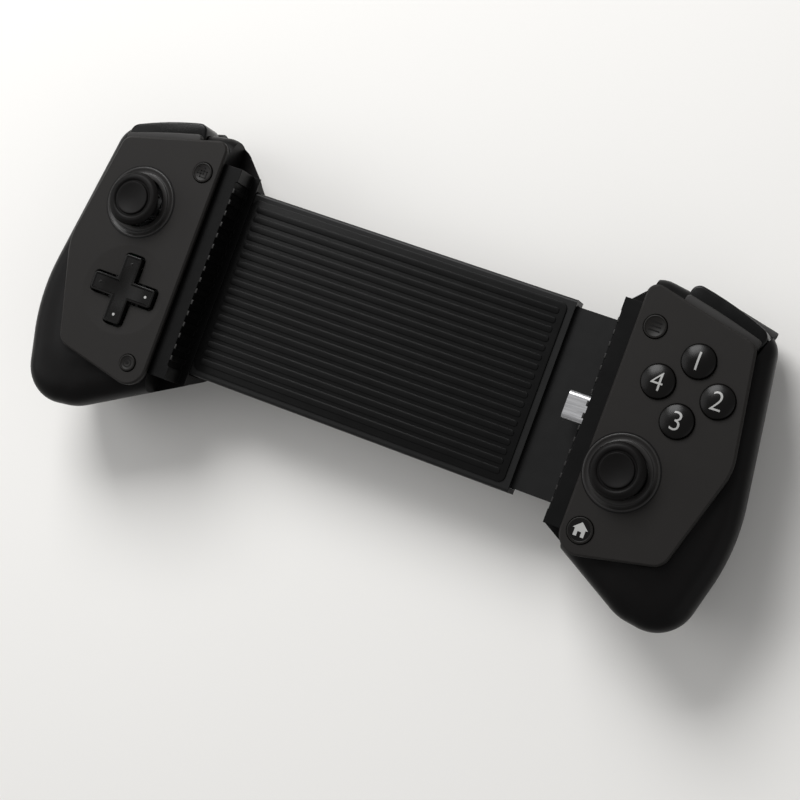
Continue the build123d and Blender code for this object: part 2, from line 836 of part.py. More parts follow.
def round_button(at, radius, flange, rise, crown, travel):
    """A button: domed cap, flange under the shell's roof and a foot over its dome switch."""
    top = face_z + rise
    low = roof_z - seat_gap - flange_thickness
    foot = board_top + membrane_thickness + dome_height + travel + seat_gap
    with BuildPart() as button:
        with BuildSketch(Plane.XZ):
            with BuildLine():
                side_line = Polyline(
                    (0, foot),
                    (foot_radius, foot),
                    (foot_radius, low),
                    (radius + flange, low),
                    (radius + flange, low + flange_thickness),
                    (radius, low + flange_thickness),
                    (radius, top - crown),
                )
                crown_arc = RadiusArc(side_line @ 1, (0, top), -(radius**2 + crown**2) / (2 * crown))
                Line(crown_arc @ 1, (0, foot))
            make_face()
        revolve(axis=Axis.Z)
    return Pos(at[0], at[1], 0) * button.part


face_size = (face_button_radius, flange_width, face_button_rise, face_button_dome, face_button_travel)
for number, at in enumerate(face_places, 1):
    save(round_button(at, *face_size), f"face_button_{number}")

small_size = (small_flange, small_button_rise, small_button_dome, small_button_travel)
for side, table in button_tables.items():
    for name, shares, radius in table:
        save(round_button(place(side, shares), radius, *small_size), name)


def dome_switches(places, sheet_radius):
    """Eight-sided dome switches on the board, each on its own sheet."""
    with BuildPart() as domes:
        with BuildSketch(Plane.XY.offset(board_top)):
            with Locations(places):
                RegularPolygon(sheet_radius, dome_sides)
        extrude(amount=membrane_thickness)
        with BuildSketch(Plane.XY.offset(board_top + membrane_thickness)):
            with Locations(places):
                RegularPolygon(dome_radius, dome_sides)
        extrude(amount=dome_height, taper=dome_slope)
    return domes.part


face_mat = dome_switches(face_places, dome_radius) + dome_switches([(face_x, face_y)], face_button_spread)
save(face_mat, "face_button_mat")
for side, table in button_tables.items():
    places = [place(side, shares) for name, shares, radius in table]
    save(dome_switches(places, dome_radius + button_gap), f"{side}_key_switches")

with BuildPart() as dpad_mat:
    dome_ring = (post_corner + dpad_flange_radius) / 2
    dome_room = dpad_flange_radius * sin(radians(dpad_tilt)) + seat_gap
    dome_top = flange_top - dpad_flange_thickness - 2 * dome_room
    with Locations((dpad_x, dpad_y, board_top)):
        Cylinder(dpad_flange_radius, membrane_thickness, align=base)
        Cylinder(post_corner, membrane_thickness, align=base, mode=Mode.SUBTRACT)
    with BuildSketch(Plane.XY.offset(board_top + membrane_thickness)):
        with Locations((dpad_x, dpad_y)):
            with PolarLocations(dome_ring, 4):
                RegularPolygon(dpad_flange_radius - dome_ring, dome_sides)
    extrude(amount=dome_top - board_top - membrane_thickness)
save(dpad_mat.part, "dpad_mat")

# Telescopic bridge: channel and cover in the left grip, rail in the right grip
cavity_z = ledge_z - bridge_wall
rail_z = bridge_base + cover_thickness + (cavity_z - bridge_base - cover_thickness - rail_thickness) / 2
channel_inner = bridge_width - 2 * bridge_wall
tunnel_z = rail_z + (rail_thickness - flex_tunnel) / 2
tunnel_width = flex_width + 2 * bridge_gap


def bar(x0, x1, width, z0, z1):
    """A flat bar across the bridge, centred on the middle line."""
    with BuildPart() as piece:
        with Locations((x0, 0, z0)):
            Box(x1 - x0, width, z1 - z0, align=(Align.MIN, Align.CENTER, Align.MIN))
    return piece.part


with BuildPart() as channel:
    add(bar(-seat_x, bridge_reach, bridge_width, bridge_base, ledge_z))
    add(bar(bridge_wall - seat_x, bridge_reach, channel_inner, bridge_base, cavity_z), mode=Mode.SUBTRACT)
    add(bar(-seat_x, bridge_reach, tunnel_width, tunnel_z, tunnel_z + flex_tunnel), mode=Mode.SUBTRACT)
    long_edges = channel.edges().filter_by(Axis.X).group_by(Axis.Z)[-1]
    fillet(long_edges, bridge_edge)
save(channel.part, "bridge_channel")

cover = bar(
    bridge_wall - seat_x + bridge_gap,
    bridge_reach,
    channel_inner - 2 * running_gap,
    bridge_base,
    bridge_base + cover_thickness,
)
save(cover, "bridge_cover")

with BuildPart() as rail:
    add(bar(rail_start, seat_x, channel_inner - 2 * bridge_gap, rail_z, rail_z + rail_thickness))
    add(bar(rail_start, seat_x, tunnel_width, tunnel_z, tunnel_z + flex_tunnel), mode=Mode.SUBTRACT)
save(rail.part, "bridge_rail")

with BuildPart() as deck_pad:
    pad_x0 = bridge_gap - foot_x
    pad_width = bridge_width - 2 * deck_pad_margin
    add(bar(pad_x0, bridge_reach - deck_pad_margin, pad_width, ledge_z, ledge_z + deck_pad_thickness))
    fillet(deck_pad.edges().filter_by(Axis.Z).group_by(Axis.X)[-1], deck_pad_margin)
save(deck_pad.part, "deck_pad")

spring_x0 = bridge_wall + bridge_gap - seat_x
with BuildPart() as springs:
    for y in (-spring_offset, spring_offset):
        with BuildSketch(Plane.YZ.offset(spring_x0)):
            with Locations((y, rail_z + rail_thickness / 2)):
                Circle(spring_radius)
                Circle(spring_radius - spring_wire, mode=Mode.SUBTRACT)
    extrude(amount=rail_start - seat_gap - spring_x0)
save(springs.part, "return_springs")

with BuildPart() as flex_cable:
    flex_z = tunnel_z + flex_tunnel / 2
    flex_step = 2 * (seat_x - bridge_gap) / flex_folds
    folds = [
        (bridge_gap - seat_x + count * flex_step, flex_z + flex_swing * (-1) ** count)
        for count in range(flex_folds + 1)
    ]
    with BuildSketch(Plane.XZ.offset(-flex_width / 2)):
        with BuildLine():
            fold_line = Polyline(*folds)
        trace(fold_line, flex_thickness)
    extrude(amount=flex_width)
save(flex_cable.part, "flex_cable")

# Clamp pads with ribs that grip the phone's ends
for side in ("left", "right"):
    with BuildPart() as clamp_pad:
        pad_face = bay_length / 2
        add(bar(pad_face, platform_x, 2 * pad_half_width, ledge_z, pad_height))
        add(bar(foot_x, pad_face, 2 * pad_half_width, ledge_z, ledge_z + deck_pad_thickness))
        with Locations((pad_face, 0, ledge_z + deck_pad_thickness)):
            with GridLocations(0, pad_rib_pitch, 1, pad_rib_count):
                Box(
                    2 * pad_rib_depth,
                    pad_rib_pitch - pad_rib_width,
                    pad_height,
                    align=base,
                    mode=Mode.SUBTRACT,
                )
        if side == "right":
            with Locations(((pad_face + platform_x) / 2, 0, plug_z)):
                Box(
                    2 * (platform_x - pad_face),
                    plug_boot_width + 2 * plug_boot_gap,
                    plug_boot_height + 2 * plug_boot_gap,
                    mode=Mode.SUBTRACT,
                )
            with Locations((plug_pivot_x, 0, plug_z)):
                Cylinder(
                    plug_pin_radius + running_gap,
                    plug_boot_width + 2 * (plug_boot_gap + plug_pin_length),
                    rotation=(90, 0, 0),
                    mode=Mode.SUBTRACT,
                )
    save(for_side(clamp_pad.part, side), f"{side}_clamp_pad")

# Plug on its swinging boot
with BuildPart() as plug_boot:
    boot_x = bay_length / 2 + plug_boot_gap
    with Locations((boot_x + plug_boot_length / 2, 0, plug_z)):
        Box(plug_boot_length, plug_boot_width, plug_boot_height)
        Cylinder(plug_pin_radius, plug_boot_width + 2 * plug_pin_length, rotation=(90, 0, 0))
    fillet(plug_boot.edges().filter_by(Axis.X), plug_boot_edge)
    plug_plane = Plane(origin=(boot_x + plug_root, 0, plug_z), x_dir=(0, 1, 0), z_dir=(-1, 0, 0))
    plug_outline = slotted(plug_width, plug_thickness, plug_plane)
    extrude(plug_outline, amount=plug_length + plug_root, mode=Mode.SUBTRACT)
save(plug_boot.part, "plug_boot")

with BuildPart() as plug:
    extrude(plug_outline, amount=plug_length + plug_boot_gap + plug_root)
    mouth = plug_plane.offset(plug_root + plug_boot_gap)
    hollow = slotted(plug_width - 2 * plug_wall, plug_thickness - 2 * plug_wall, mouth)
    extrude(hollow, amount=plug_length, mode=Mode.SUBTRACT)
save(plug.part, "phone_plug")

# Charging socket under the right board's lower edge
with BuildPart() as socket:
    extrude(slotted(socket_width, socket_height, socket_plane), amount=socket_depth)
    room = slotted(socket_width - 2 * socket_wall, socket_height - 2 * socket_wall, socket_plane)
    extrude(room, amount=socket_depth - socket_wall, mode=Mode.SUBTRACT)
    tongue = slotted(socket_tongue_width, socket_tongue, socket_plane.offset(socket_wall))
    extrude(tongue, amount=socket_depth - socket_wall)
save(socket.part, "charging_socket")
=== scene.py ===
"""Looks of the telescopic game controller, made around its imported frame. Lengths are in metres."""

import json
import math

import bmesh
import bpy
from mathutils import Matrix, Vector


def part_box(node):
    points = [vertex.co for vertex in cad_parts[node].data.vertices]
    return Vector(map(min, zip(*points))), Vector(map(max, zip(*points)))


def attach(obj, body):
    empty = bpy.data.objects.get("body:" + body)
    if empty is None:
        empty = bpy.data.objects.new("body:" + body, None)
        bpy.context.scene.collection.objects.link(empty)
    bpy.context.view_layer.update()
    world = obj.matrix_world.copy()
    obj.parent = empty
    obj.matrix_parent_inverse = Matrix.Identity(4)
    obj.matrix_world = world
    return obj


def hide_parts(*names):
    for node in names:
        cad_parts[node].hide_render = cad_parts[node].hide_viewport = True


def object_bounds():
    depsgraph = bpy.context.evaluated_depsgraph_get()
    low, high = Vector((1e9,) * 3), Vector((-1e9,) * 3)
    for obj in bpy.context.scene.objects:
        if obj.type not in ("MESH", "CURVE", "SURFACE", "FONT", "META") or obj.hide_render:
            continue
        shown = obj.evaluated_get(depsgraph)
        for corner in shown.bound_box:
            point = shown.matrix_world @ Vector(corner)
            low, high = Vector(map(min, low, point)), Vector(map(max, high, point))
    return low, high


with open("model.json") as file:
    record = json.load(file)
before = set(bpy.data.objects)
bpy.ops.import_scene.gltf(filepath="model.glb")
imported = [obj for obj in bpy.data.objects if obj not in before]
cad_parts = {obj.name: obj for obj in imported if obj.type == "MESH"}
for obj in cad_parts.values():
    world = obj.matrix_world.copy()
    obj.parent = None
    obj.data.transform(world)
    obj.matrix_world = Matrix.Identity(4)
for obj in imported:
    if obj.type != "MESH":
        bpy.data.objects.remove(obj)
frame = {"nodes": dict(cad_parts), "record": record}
cad_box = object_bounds()
mm = 0.001
weld, level_within = 0.002 * mm, 0.001 * mm
nodes = frame["nodes"]

# Camera at the photograph's angle
camera_place = (0.1970, -0.0257, 0.5430)
camera_right = (0.8869, 0.3480, -0.3038)
camera_up = (-0.3226, 0.9373, 0.1319)
camera_back = (0.3306, -0.0190, 0.9436)
camera_lens = 90

camera_data = bpy.data.cameras.new("camera")
camera_data.lens = camera_lens
camera_data.sensor_width = 36
camera_data.clip_start = 0.01
camera = bpy.data.objects.new("camera", camera_data)
turn = Matrix((camera_right, camera_up, camera_back)).transposed().to_4x4()
camera.matrix_world = Matrix.Translation(camera_place) @ turn
bpy.context.collection.objects.link(camera)
bpy.context.scene.camera = camera
bpy.context.scene.view_settings.view_transform = "Standard"


# Finishes
noise_low, noise_high = 0.25, 0.75
bevel_samples = 6
cloud_size, mark_size, mark_swing = 22 * mm, 6 * mm, 0.05
seam_half, seam_depth = 0.14 * mm, 0.12 * mm
scratch_size, scratch_depth, scratch_stretch = 0.3 * mm, 0.002 * mm, (0.05, 1, 1)
scratch_smoother, scratch_rougher = 0.08, 0.1


def shader(name, colour, rough, specular=0.5, metallic=0.0):
    """A new material with its node tree, its main shader and the place that its patterns read."""
    material = bpy.data.materials.new(name)
    material.use_nodes = True
    tree = material.node_tree
    main = tree.nodes["Principled BSDF"]
    main.inputs["Base Color"].default_value = (*colour, 1)
    main.inputs["Roughness"].default_value = rough
    main.inputs["Specular IOR Level"].default_value = specular
    main.inputs["Metallic"].default_value = metallic
    place = tree.nodes.new("ShaderNodeTexCoord").outputs["Object"]
    return material, tree, main, place


def noise(tree, place, grain, detail=4.0, roughness=0.55):
    """Noise whose lumps are about grain across."""
    node = tree.nodes.new("ShaderNodeTexNoise")
    node.inputs["Scale"].default_value = 1 / grain
    node.inputs["Detail"].default_value = detail
    node.inputs["Roughness"].default_value = roughness
    tree.links.new(place, node.inputs["Vector"])
    return node.outputs["Fac"]


def spread(tree, value, low, high):
    """Noise, which mostly keeps to the middle of its range, stretched over low to high."""
    node = tree.nodes.new("ShaderNodeMapRange")
    node.inputs["To Min"].default_value = low
    node.inputs["To Max"].default_value = high
    node.inputs["From Min"].default_value = noise_low
    node.inputs["From Max"].default_value = noise_high
    tree.links.new(value, node.inputs["Value"])
    return node.outputs["Result"]


def tint(tree, value, first, second):
    """A colour between first and second."""
    node = tree.nodes.new("ShaderNodeMix")
    node.data_type = "RGBA"
    node.inputs["A"].default_value = (*first, 1)
    node.inputs["B"].default_value = (*second, 1)
    tree.links.new(value, node.inputs["Factor"])
    return node.outputs["Result"]


def relief(tree, main, value, depth, normal=None):
    """Bump of the given depth, laid over another normal if there is one."""
    node = tree.nodes.new("ShaderNodeBump")
    node.inputs["Distance"].default_value = depth
    tree.links.new(value, node.inputs["Height"])
    if normal:
        tree.links.new(normal, node.inputs["Normal"])
    tree.links.new(node.outputs["Normal"], main.inputs["Normal"])
    return node.outputs["Normal"]


def soft_edges(tree, radius):
    """Normals that look as if every edge had this radius."""
    node = tree.nodes.new("ShaderNodeBevel")
    node.samples = bevel_samples
    node.inputs["Radius"].default_value = radius
    return node.outputs["Normal"]


def seam_line(tree, place, height):
    """1 beside a level line and 0 on it."""
    parts = tree.nodes.new("ShaderNodeSeparateXYZ")
    tree.links.new(place, parts.inputs["Vector"])
    away = tree.nodes.new("ShaderNodeMath")
    away.operation = "SUBTRACT"
    away.inputs[1].default_value = height
    tree.links.new(parts.outputs["Z"], away.inputs[0])
    size = tree.nodes.new("ShaderNodeMath")
    size.operation = "ABSOLUTE"
    tree.links.new(away.outputs["Value"], size.inputs[0])
    step = tree.nodes.new("ShaderNodeMapRange")
    step.inputs["From Min"].default_value = seam_half / 2
    step.inputs["From Max"].default_value = seam_half
    tree.links.new(size.outputs["Value"], step.inputs["Value"])
    return step.outputs["Result"]


def moulded(
    name, colour, rough, grain=0.12 * mm, depth=0.006 * mm, edge=0.0, specular=0.5, vary=0.12, seam=None
):
    """Moulded plastic or rubber: fine spark-eroded grain, slight cloudiness and handling marks."""
    material, tree, main, place = shader(name, colour, rough, specular)
    cloud = noise(tree, place, cloud_size, detail=3)
    darker = tuple(c * (1 - vary) for c in colour)
    lighter = tuple(c * (1 + vary) for c in colour)
    tree.links.new(tint(tree, cloud, darker, lighter), main.inputs["Base Color"])
    marks = noise(tree, place, mark_size, detail=6, roughness=0.7)
    tree.links.new(spread(tree, marks, rough - mark_swing, rough + mark_swing), main.inputs["Roughness"])
    normal = soft_edges(tree, edge) if edge else None
    if seam is not None:
        normal = relief(tree, main, seam_line(tree, place, seam), seam_depth, normal)
    relief(tree, main, noise(tree, place, grain, detail=2), depth, normal)
    return material


def metal(name, colour, rough):
    """Bare metal with fine scratches."""
    material, tree, main, place = shader(name, colour, rough, metallic=1.0)
    stretch = tree.nodes.new("ShaderNodeMapping")
    stretch.inputs["Scale"].default_value = scratch_stretch
    tree.links.new(place, stretch.inputs["Vector"])
    lines = noise(tree, stretch.outputs["Vector"], scratch_size)
    shine = spread(tree, lines, rough - scratch_smoother, rough + scratch_rougher)
    tree.links.new(shine, main.inputs["Roughness"])
    relief(tree, main, lines, scratch_depth)
    return material


# Colour, roughness and whatever differs from plain moulded plastic; a seam is a height
mouldings = {
    "faceplate_grey": ((0.0120, 0.0109, 0.0101), 0.50, dict(edge=0.3 * mm, specular=0.16, vary=0.06)),
    "shell_black": ((0.0034, 0.0031, 0.0031), 0.38, dict(specular=0.10, vary=0.10, seam=-5 * mm)),
    "bumper_black": ((0.003, 0.003, 0.003), 0.26, dict(grain=0.2 * mm, depth=0.002 * mm, specular=0.16)),
    "trigger_black": ((0.003, 0.003, 0.003), 0.55, dict(edge=0.3 * mm, specular=0.10)),
    "stick_rubber": ((0.0034, 0.0030, 0.0029), 0.46, dict(grain=0.15 * mm, specular=0.10)),
    # Lighter than the faceplate: base colour raised as painted highlight for the collar rings' shine; the rib
    # beads use it for painted glints
    "collar_black": (
        (0.0170, 0.0160, 0.0155), 0.34, dict(grain=0.15 * mm, depth=0.003 * mm, specular=0.32)
    ),
    "button_black": ((0.0032, 0.0029, 0.0027), 0.28, dict(grain=0.3 * mm, depth=0.001 * mm, specular=0.17)),
    "small_button_black": (
        (0.0090, 0.0082, 0.0075), 0.42, dict(grain=0.15 * mm, depth=0.003 * mm, specular=0.16)
    ),
    "pad_rubber": ((0.0028, 0.0028, 0.0028), 0.36, dict(grain=0.15 * mm, edge=0.2 * mm, specular=0.12)),
    "dome_rubber": ((0.42, 0.42, 0.40), 0.50, {}),
    "bridge_black": (
        (0.0060, 0.0060, 0.0060), 0.40,
        dict(grain=0.18 * mm, depth=0.004 * mm, edge=0.2 * mm, specular=0.20),
    ),
    "board_green": ((0.008, 0.070, 0.032), 0.30, {}),
    "flex_amber": ((0.35, 0.13, 0.02), 0.30, {}),
    "stick_nylon": ((0.045, 0.045, 0.045), 0.45, {}),
    "mark_white": ((0.36, 0.36, 0.35), 0.40, dict(grain=0.1 * mm, depth=0.002 * mm)),
    # Dark print on the small buttons and D-pad dots; also the collars' dark rings, which are painted shadow
    "print_and_shadow_dark": ((0.0028, 0.0025, 0.0024), 0.30, dict(grain=0.1 * mm, depth=0.002 * mm, specular=0.2)),
    # Lighter than the bar and the plate: painted highlight of the lit ledge strip
    "ledge_painted_highlight": ((0.0185, 0.0175, 0.0168), 0.42, dict(grain=0.2 * mm, depth=0.003 * mm, specular=0.22)),
}
metals = {"steel": ((0.075, 0.075, 0.080), 0.50), "plug_steel": ((0.50, 0.50, 0.51), 0.34)}
finishes = {name: moulded(name, colour, rough, **more) for name, (colour, rough, more) in mouldings.items()}
finishes.update({name: metal(name, colour, rough) for name, (colour, rough) in metals.items()})

for part in frame["record"]["subparts"]:
    node = nodes[part["node"]]
    node.data.materials.clear()
    node.data.materials.append(finishes[part["material_slot"]])


# Making pieces
smooth_below = math.radians(38)
bend_steps, corner_steps, edge_steps = 8, 5, 4
round_corner_below = math.radians(140)
four_ways = ((1, 0), (0, -1), (-1, 0), (0, 1))


def piece(bm, name, body, slot, *replaced, finish=None):
    """Makes a piece of a mesh: it rides on a body, and its finish is its slot's unless one is given."""
    mesh = bpy.data.meshes.new(name)
    bmesh.ops.remove_doubles(bm, verts=bm.verts, dist=weld)
    bmesh.ops.recalc_face_normals(bm, faces=bm.faces)
    bm.to_mesh(mesh)
    bm.free()
    thing = bpy.data.objects.new(name, mesh)
    bpy.context.collection.objects.link(thing)
    mesh.materials.append(finishes[finish or slot])
    mesh.shade_smooth()
    mesh.set_sharp_from_angle(angle=smooth_below)
    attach(thing, body)
    if replaced:
        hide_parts(*replaced)


def verts_of(geometry):
    """The vertices in an operator's result."""
    return [v for v in geometry if isinstance(v, bmesh.types.BMVert)]


def level(item, height):
    """Whether all vertices of an edge or face lie at a height."""
    return all(abs(v.co.z - height) < level_within for v in item.verts)


def draw(bm, corners):
    """Edges through flat corners; a third number bends the run that ends there, bulging to its right."""
    last = bm.verts.new((*corners[0][:2], 0))
    for corner in corners[1:]:
        end = Vector((*corner[:2], 0))
        if len(corner) == 3:
            angle = corner[2]
            run = end - last.co
            side = Vector((-run.y, run.x, 0)).normalized()
            centre = (end + last.co) / 2 + side * run.length / 2 / math.tan(angle / 2)
            spun = bmesh.ops.spin(
                bm, geom=[last], cent=centre, axis=(0, 0, 1), dvec=(0, 0, 0), angle=angle, steps=bend_steps
            )
            last = verts_of(spun["geom_last"])[0]
        else:
            new = bm.verts.new(end)
            bm.edges.new((last, new))
            last = new


def join(*shapes):
    """Several forms in one mesh."""
    whole = bmesh.new()
    for shape in shapes:
        bmesh.ops.recalc_face_normals(shape, faces=shape.faces)
        mesh = bpy.data.meshes.new("form")
        shape.to_mesh(mesh)
        shape.free()
        whole.from_mesh(mesh)
        bpy.data.meshes.remove(mesh)
    return whole


def lathe(corners, at, turns=96):
    """A form of revolution about an upright axis, from (radius, height) corners."""
    shape = bmesh.new()
    draw(shape, corners)
    bmesh.ops.rotate(shape, verts=shape.verts, cent=(0, 0, 0), matrix=Matrix.Rotation(math.pi / 2, 3, "X"))
    bmesh.ops.spin(
        shape,
        geom=shape.verts[:] + shape.edges[:],
        cent=(0, 0, 0),
        axis=(0, 0, 1),
        dvec=(0, 0, 0),
        angle=2 * math.pi,
        steps=turns,
        use_merge=True,
    )
    bmesh.ops.remove_doubles(shape, verts=shape.verts, dist=weld)
    bmesh.ops.translate(shape, verts=shape.verts, vec=at)
    return shape


def soften(shape, parts, size, steps, affect="EDGES"):
    """Rounds edges or corners."""
    bmesh.ops.bevel(
        shape, geom=parts, offset=size, affect=affect, segments=steps, profile=0.5, material=-1
    )


def raise_slab(shape, low, high):
    """Makes a flat form a slab from low to high."""
    grown = bmesh.ops.extrude_face_region(shape, geom=shape.faces[:])
    bmesh.ops.translate(shape, verts=shape.verts, vec=(0, 0, low))
    bmesh.ops.translate(shape, verts=verts_of(grown["geom"]), vec=(0, 0, high - low))


def opening(vert):
    """The angle between the two edges at an outline's corner."""
    first, second = [edge.other_vert(vert).co - vert.co for edge in vert.link_edges[:2]]
    return first.angle(second)


def slab(corners, low, high, edge=0.0, corner=0.0, under=False):
    """A flat form with its outline's corners and its top edge rounded, and its bottom edge if under."""
    shape = bmesh.new()
    draw(shape, [*corners, corners[0]])
    bmesh.ops.remove_doubles(shape, verts=shape.verts, dist=weld)
    bmesh.ops.contextual_create(shape, geom=shape.edges[:])
    if corner:
        sharp = [v for v in shape.verts if opening(v) < round_corner_below]
        soften(shape, sharp, corner, corner_steps, "VERTICES")
    raise_slab(shape, low, high)
    if edge:
        heights = (low, high) if under else (high,)
        soften(shape, [e for e in shape.edges if any(level(e, z) for z in heights)], edge, edge_steps)
    return shape


def gridded(bm, region, pitch, reach):
    """Cuts a region every pitch both ways, so that it can take a curve; gives the region with its cuts."""
    count = math.ceil(reach / pitch)
    for direction in ((1, 0, 0), (0, 1, 0)):
        for step in range(-count, count + 1):
            place = Vector(direction) * step * pitch
            region = bmesh.ops.bisect_plane(bm, geom=region, plane_co=place, plane_no=direction)["geom"]
    return region


def box_corners(centre, width, height):
    """The corners of a rectangle."""
    x, y = centre
    return [
        (x - width / 2, y - height / 2),
        (x + width / 2, y - height / 2),
        (x + width / 2, y + height / 2),
        (x - width / 2, y + height / 2),
    ]


def ring_corners(inner, outer, low, high):
    """The outline of a flat ring, for lathe."""
    return [(inner, low), (outer, low), (outer, high), (inner, high), (inner, low)]


def peg_corners(radius, low, high):
    """The outline of a round peg, for lathe."""
    return [(0, low), (radius, low), (radius, high), (0, high)]


def scaled(corners):
    """Corners given in millimetres, some with a bend in degrees."""
    return [(c[0] * mm, c[1] * mm, *(math.radians(bend) for bend in c[2:])) for c in corners]


def middle(node):
    """Centre of a node's box seen from the front."""
    low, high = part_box(node)
    return (low[0] + high[0]) / 2, (low[1] + high[1]) / 2


# The buttons' flanges lie under the front shells' roofs
face_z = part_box("right_faceplate")[1][2]
roof_z = face_z - 3.4 * mm
flange_low = roof_z - 1.15 * mm
flange_high = roof_z - 0.15 * mm


# Sticks: turned rubber caps over their collars, each with a gasket and a thin dark ring round the collar that
# is painted shadow for the gap between collar and plate, outlined in millimetres
pivot_drop = 13.6 * mm
collar_turns = 128
cap_corners = [
    (0, 11.05), (1.42, 11.05), (1.42, 6.45), (4.30, 5.00, -28.2), (4.83, 5.61), (3.50, 6.52, 12.4),
    (3.50, 9.50), (6.60, 11.30, -55), (7.30, 11.45), (8.00, 12.15, 70), (6.75, 13.40, 55), (6.15, 13.42),
    (5.40, 13.02, 50), (5.05, 13.00), (4.88, 13.45), (4.68, 13.60, 65), (4.40, 13.56), (0, 13.10, -10),
]
collar_corners = [
    (7.50, 0.42), (7.50, -2.80), (8.30, -2.80), (8.30, 0), (10.80, 0), (10.80, 0.08), (10.50, 0.38, 80),
    (10.20, 0.38), (9.35, 0.14, -20), (9.05, 0.14), (8.95, 0.22, -60), (8.95, 0.36), (8.69, 0.62, 80),
    (7.70, 0.62), (7.50, 0.42, 80),
]
shadow_ring_corners = ring_corners(inner=10.70, outer=11.15, low=-0.10, high=0.03)
gasket_corners = ring_corners(inner=4.85, outer=6.45, low=-4.59, high=-4.55)
for side in ("left", "right"):
    body = f"{side}_grip"
    cap_at = (*middle(f"{side}_stick_cap"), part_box(f"{side}_stick_cap")[1][2] - pivot_drop)
    cap = lathe(scaled(cap_corners), cap_at)
    piece(cap, f"{side}_stick_rubber", f"{side}_stick", "stick_rubber", f"{side}_stick_cap")
    collar_at = (*middle(f"{side}_stick_collar"), face_z)
    collar = lathe(scaled(collar_corners), collar_at, collar_turns)
    piece(collar, f"{side}_collar_ring", body, "collar_black", f"{side}_stick_collar")
    # A thin dark ring at the collar's edge: painted shadow standing for the gap between collar and faceplate
    shadow_ring = lathe(scaled(shadow_ring_corners), collar_at, collar_turns)
    piece(shadow_ring, f"{side}_collar_shadow_ring", body, "collar_black", finish="print_and_shadow_dark")
    gasket = lathe(scaled(gasket_corners), collar_at)
    piece(gasket, f"{side}_stick_gasket", body, "pad_rubber")


# Bumpers: a glossy bar and a satin ledge along the plate, the ledge's lighter grey a painted highlight, in a
# frame that follows the trigger's pin
shoulder_turn = math.radians(-13.617)
pin_offset = 2.2 * mm
bar_corners = [(-12.6, -1.6), (12.6, -1.6), (12.6, 4.4), (-12.6, 5.9, 14)]
bar_drop, bar_edge, bar_corner = 2.1 * mm, 0.7 * mm, 2.4 * mm
ledge_corners = [(-12.2, -1.6), (12.2, -1.6), (12.2, 1.5), (-12.2, 2.1, 6)]
ledge_lift, ledge_edge, ledge_corner = 1 * mm, 0.4 * mm, 1.1 * mm


def on_shoulder(shape, side):
    """A form moved from the shoulder's frame to its side of the controller."""
    way = 1 if side == "right" else -1
    outwards = Vector((-math.sin(shoulder_turn), math.cos(shoulder_turn), 0))
    place = Vector((*middle("right_trigger_pin"), 0)) + outwards * pin_offset
    turn = Matrix.Rotation(shoulder_turn, 3, "Z")
    bmesh.ops.rotate(shape, verts=shape.verts, cent=(0, 0, 0), matrix=turn)
    bmesh.ops.translate(shape, verts=shape.verts, vec=place)
    bmesh.ops.scale(shape, verts=shape.verts, vec=(way, 1, 1))
    return shape


for side in ("left", "right"):
    body = f"{side}_bumper"
    low, high = [corner[2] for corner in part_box(body)]
    bar = slab(scaled(bar_corners), low, high - bar_drop, bar_edge, bar_corner, under=True)
    piece(on_shoulder(bar, side), f"{side}_bumper_bar", body, "bumper_black", body)
    ledge = slab(scaled(ledge_corners), low + ledge_lift, high, ledge_edge, ledge_corner)
    # The ledge's lighter finish is painted highlight
    piece(on_shoulder(ledge, side), f"{side}_bumper_ledge", body, "bumper_black", finish="ledge_painted_highlight")


# Deck mat with long ribs that keep the phone's back off it
rib_count = 18
rib_margin, rib_inset, rib_gap = 1.5 * mm, 2 * mm, 1.1 * mm
rib_height, rib_bite = 0.2 * mm, 0.1 * mm
rib_edge, rib_corner = 0.12 * mm, 0.7 * mm
mat_edge, mat_corner = 0.15 * mm, 2 * mm
mat_low, mat_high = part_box("deck_pad")
mat_middle = middle("deck_pad")
mat_size = (mat_high[0] - mat_low[0], mat_high[1] - mat_low[1])
sheet_top = mat_high[2] - rib_height
rib_pitch = (mat_size[1] - 2 * rib_margin) / rib_count
forms = [slab(box_corners(mat_middle, *mat_size), mat_low[2], sheet_top, mat_edge, mat_corner)]
for index in range(rib_count):
    rib_place = (mat_middle[0], mat_low[1] + rib_margin + (index + 0.5) * rib_pitch)
    rib = box_corners(rib_place, mat_size[0] - 2 * rib_inset, rib_pitch - rib_gap)
    forms.append(slab(rib, sheet_top - rib_bite, mat_high[2], rib_edge, rib_corner))
piece(join(*forms), "deck_mat", "left_grip", "pad_rubber", "deck_pad")


# Clamp pads: a glossy bead on the top of each rib, lighter than the pad: painted highlight for the glints on
# the rib tops
clamp_reach = 61.2 * mm
clamp_ribs = 16
clamp_pitch = 3.5 * mm
bead_size = (0.50 * mm, 1.35 * mm)
bead_inset, bead_edge = 0.05 * mm, 0.15 * mm
bead_rise, bead_bite = 0.1 * mm, 0.5 * mm
for side, way in (("left", -1), ("right", 1)):
    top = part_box(f"{side}_clamp_pad")[1][2]
    beads = []
    for index in range(clamp_ribs):
        y = (index - (clamp_ribs - 1) / 2) * clamp_pitch
        centre = (way * (clamp_reach + bead_size[0] / 2 + bead_inset), y)
        beads.append(slab(box_corners(centre, *bead_size), top - bead_bite, top + bead_rise, bead_edge))
    # The beads take the lighter collar finish: painted glints
    piece(join(*beads), f"{side}_rib_painted_glints", f"{side}_grip", "pad_rubber", finish="collar_black")


# Face buttons with printed numbers
button_radius, button_flange = 4.75 * mm, 0.9 * mm
button_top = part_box("face_button_1")[1][2]
crown = 1.0 * mm
crown_radius = (button_radius**2 + crown**2) / 2 / crown
crown_reach = 4.45 * mm
crown_drop, crown_bend = 0.25 * mm, math.radians(50)
number_size, number_thin = 7.8 * mm, 0.09 * mm
number_lift, number_depth, number_pitch = 0.02 * mm, 0.12 * mm, 0.4 * mm


def dome_height(distance):
    """Height of a face button's crown at a distance from its middle."""
    return button_top - crown_radius + math.sqrt(crown_radius**2 - distance**2)


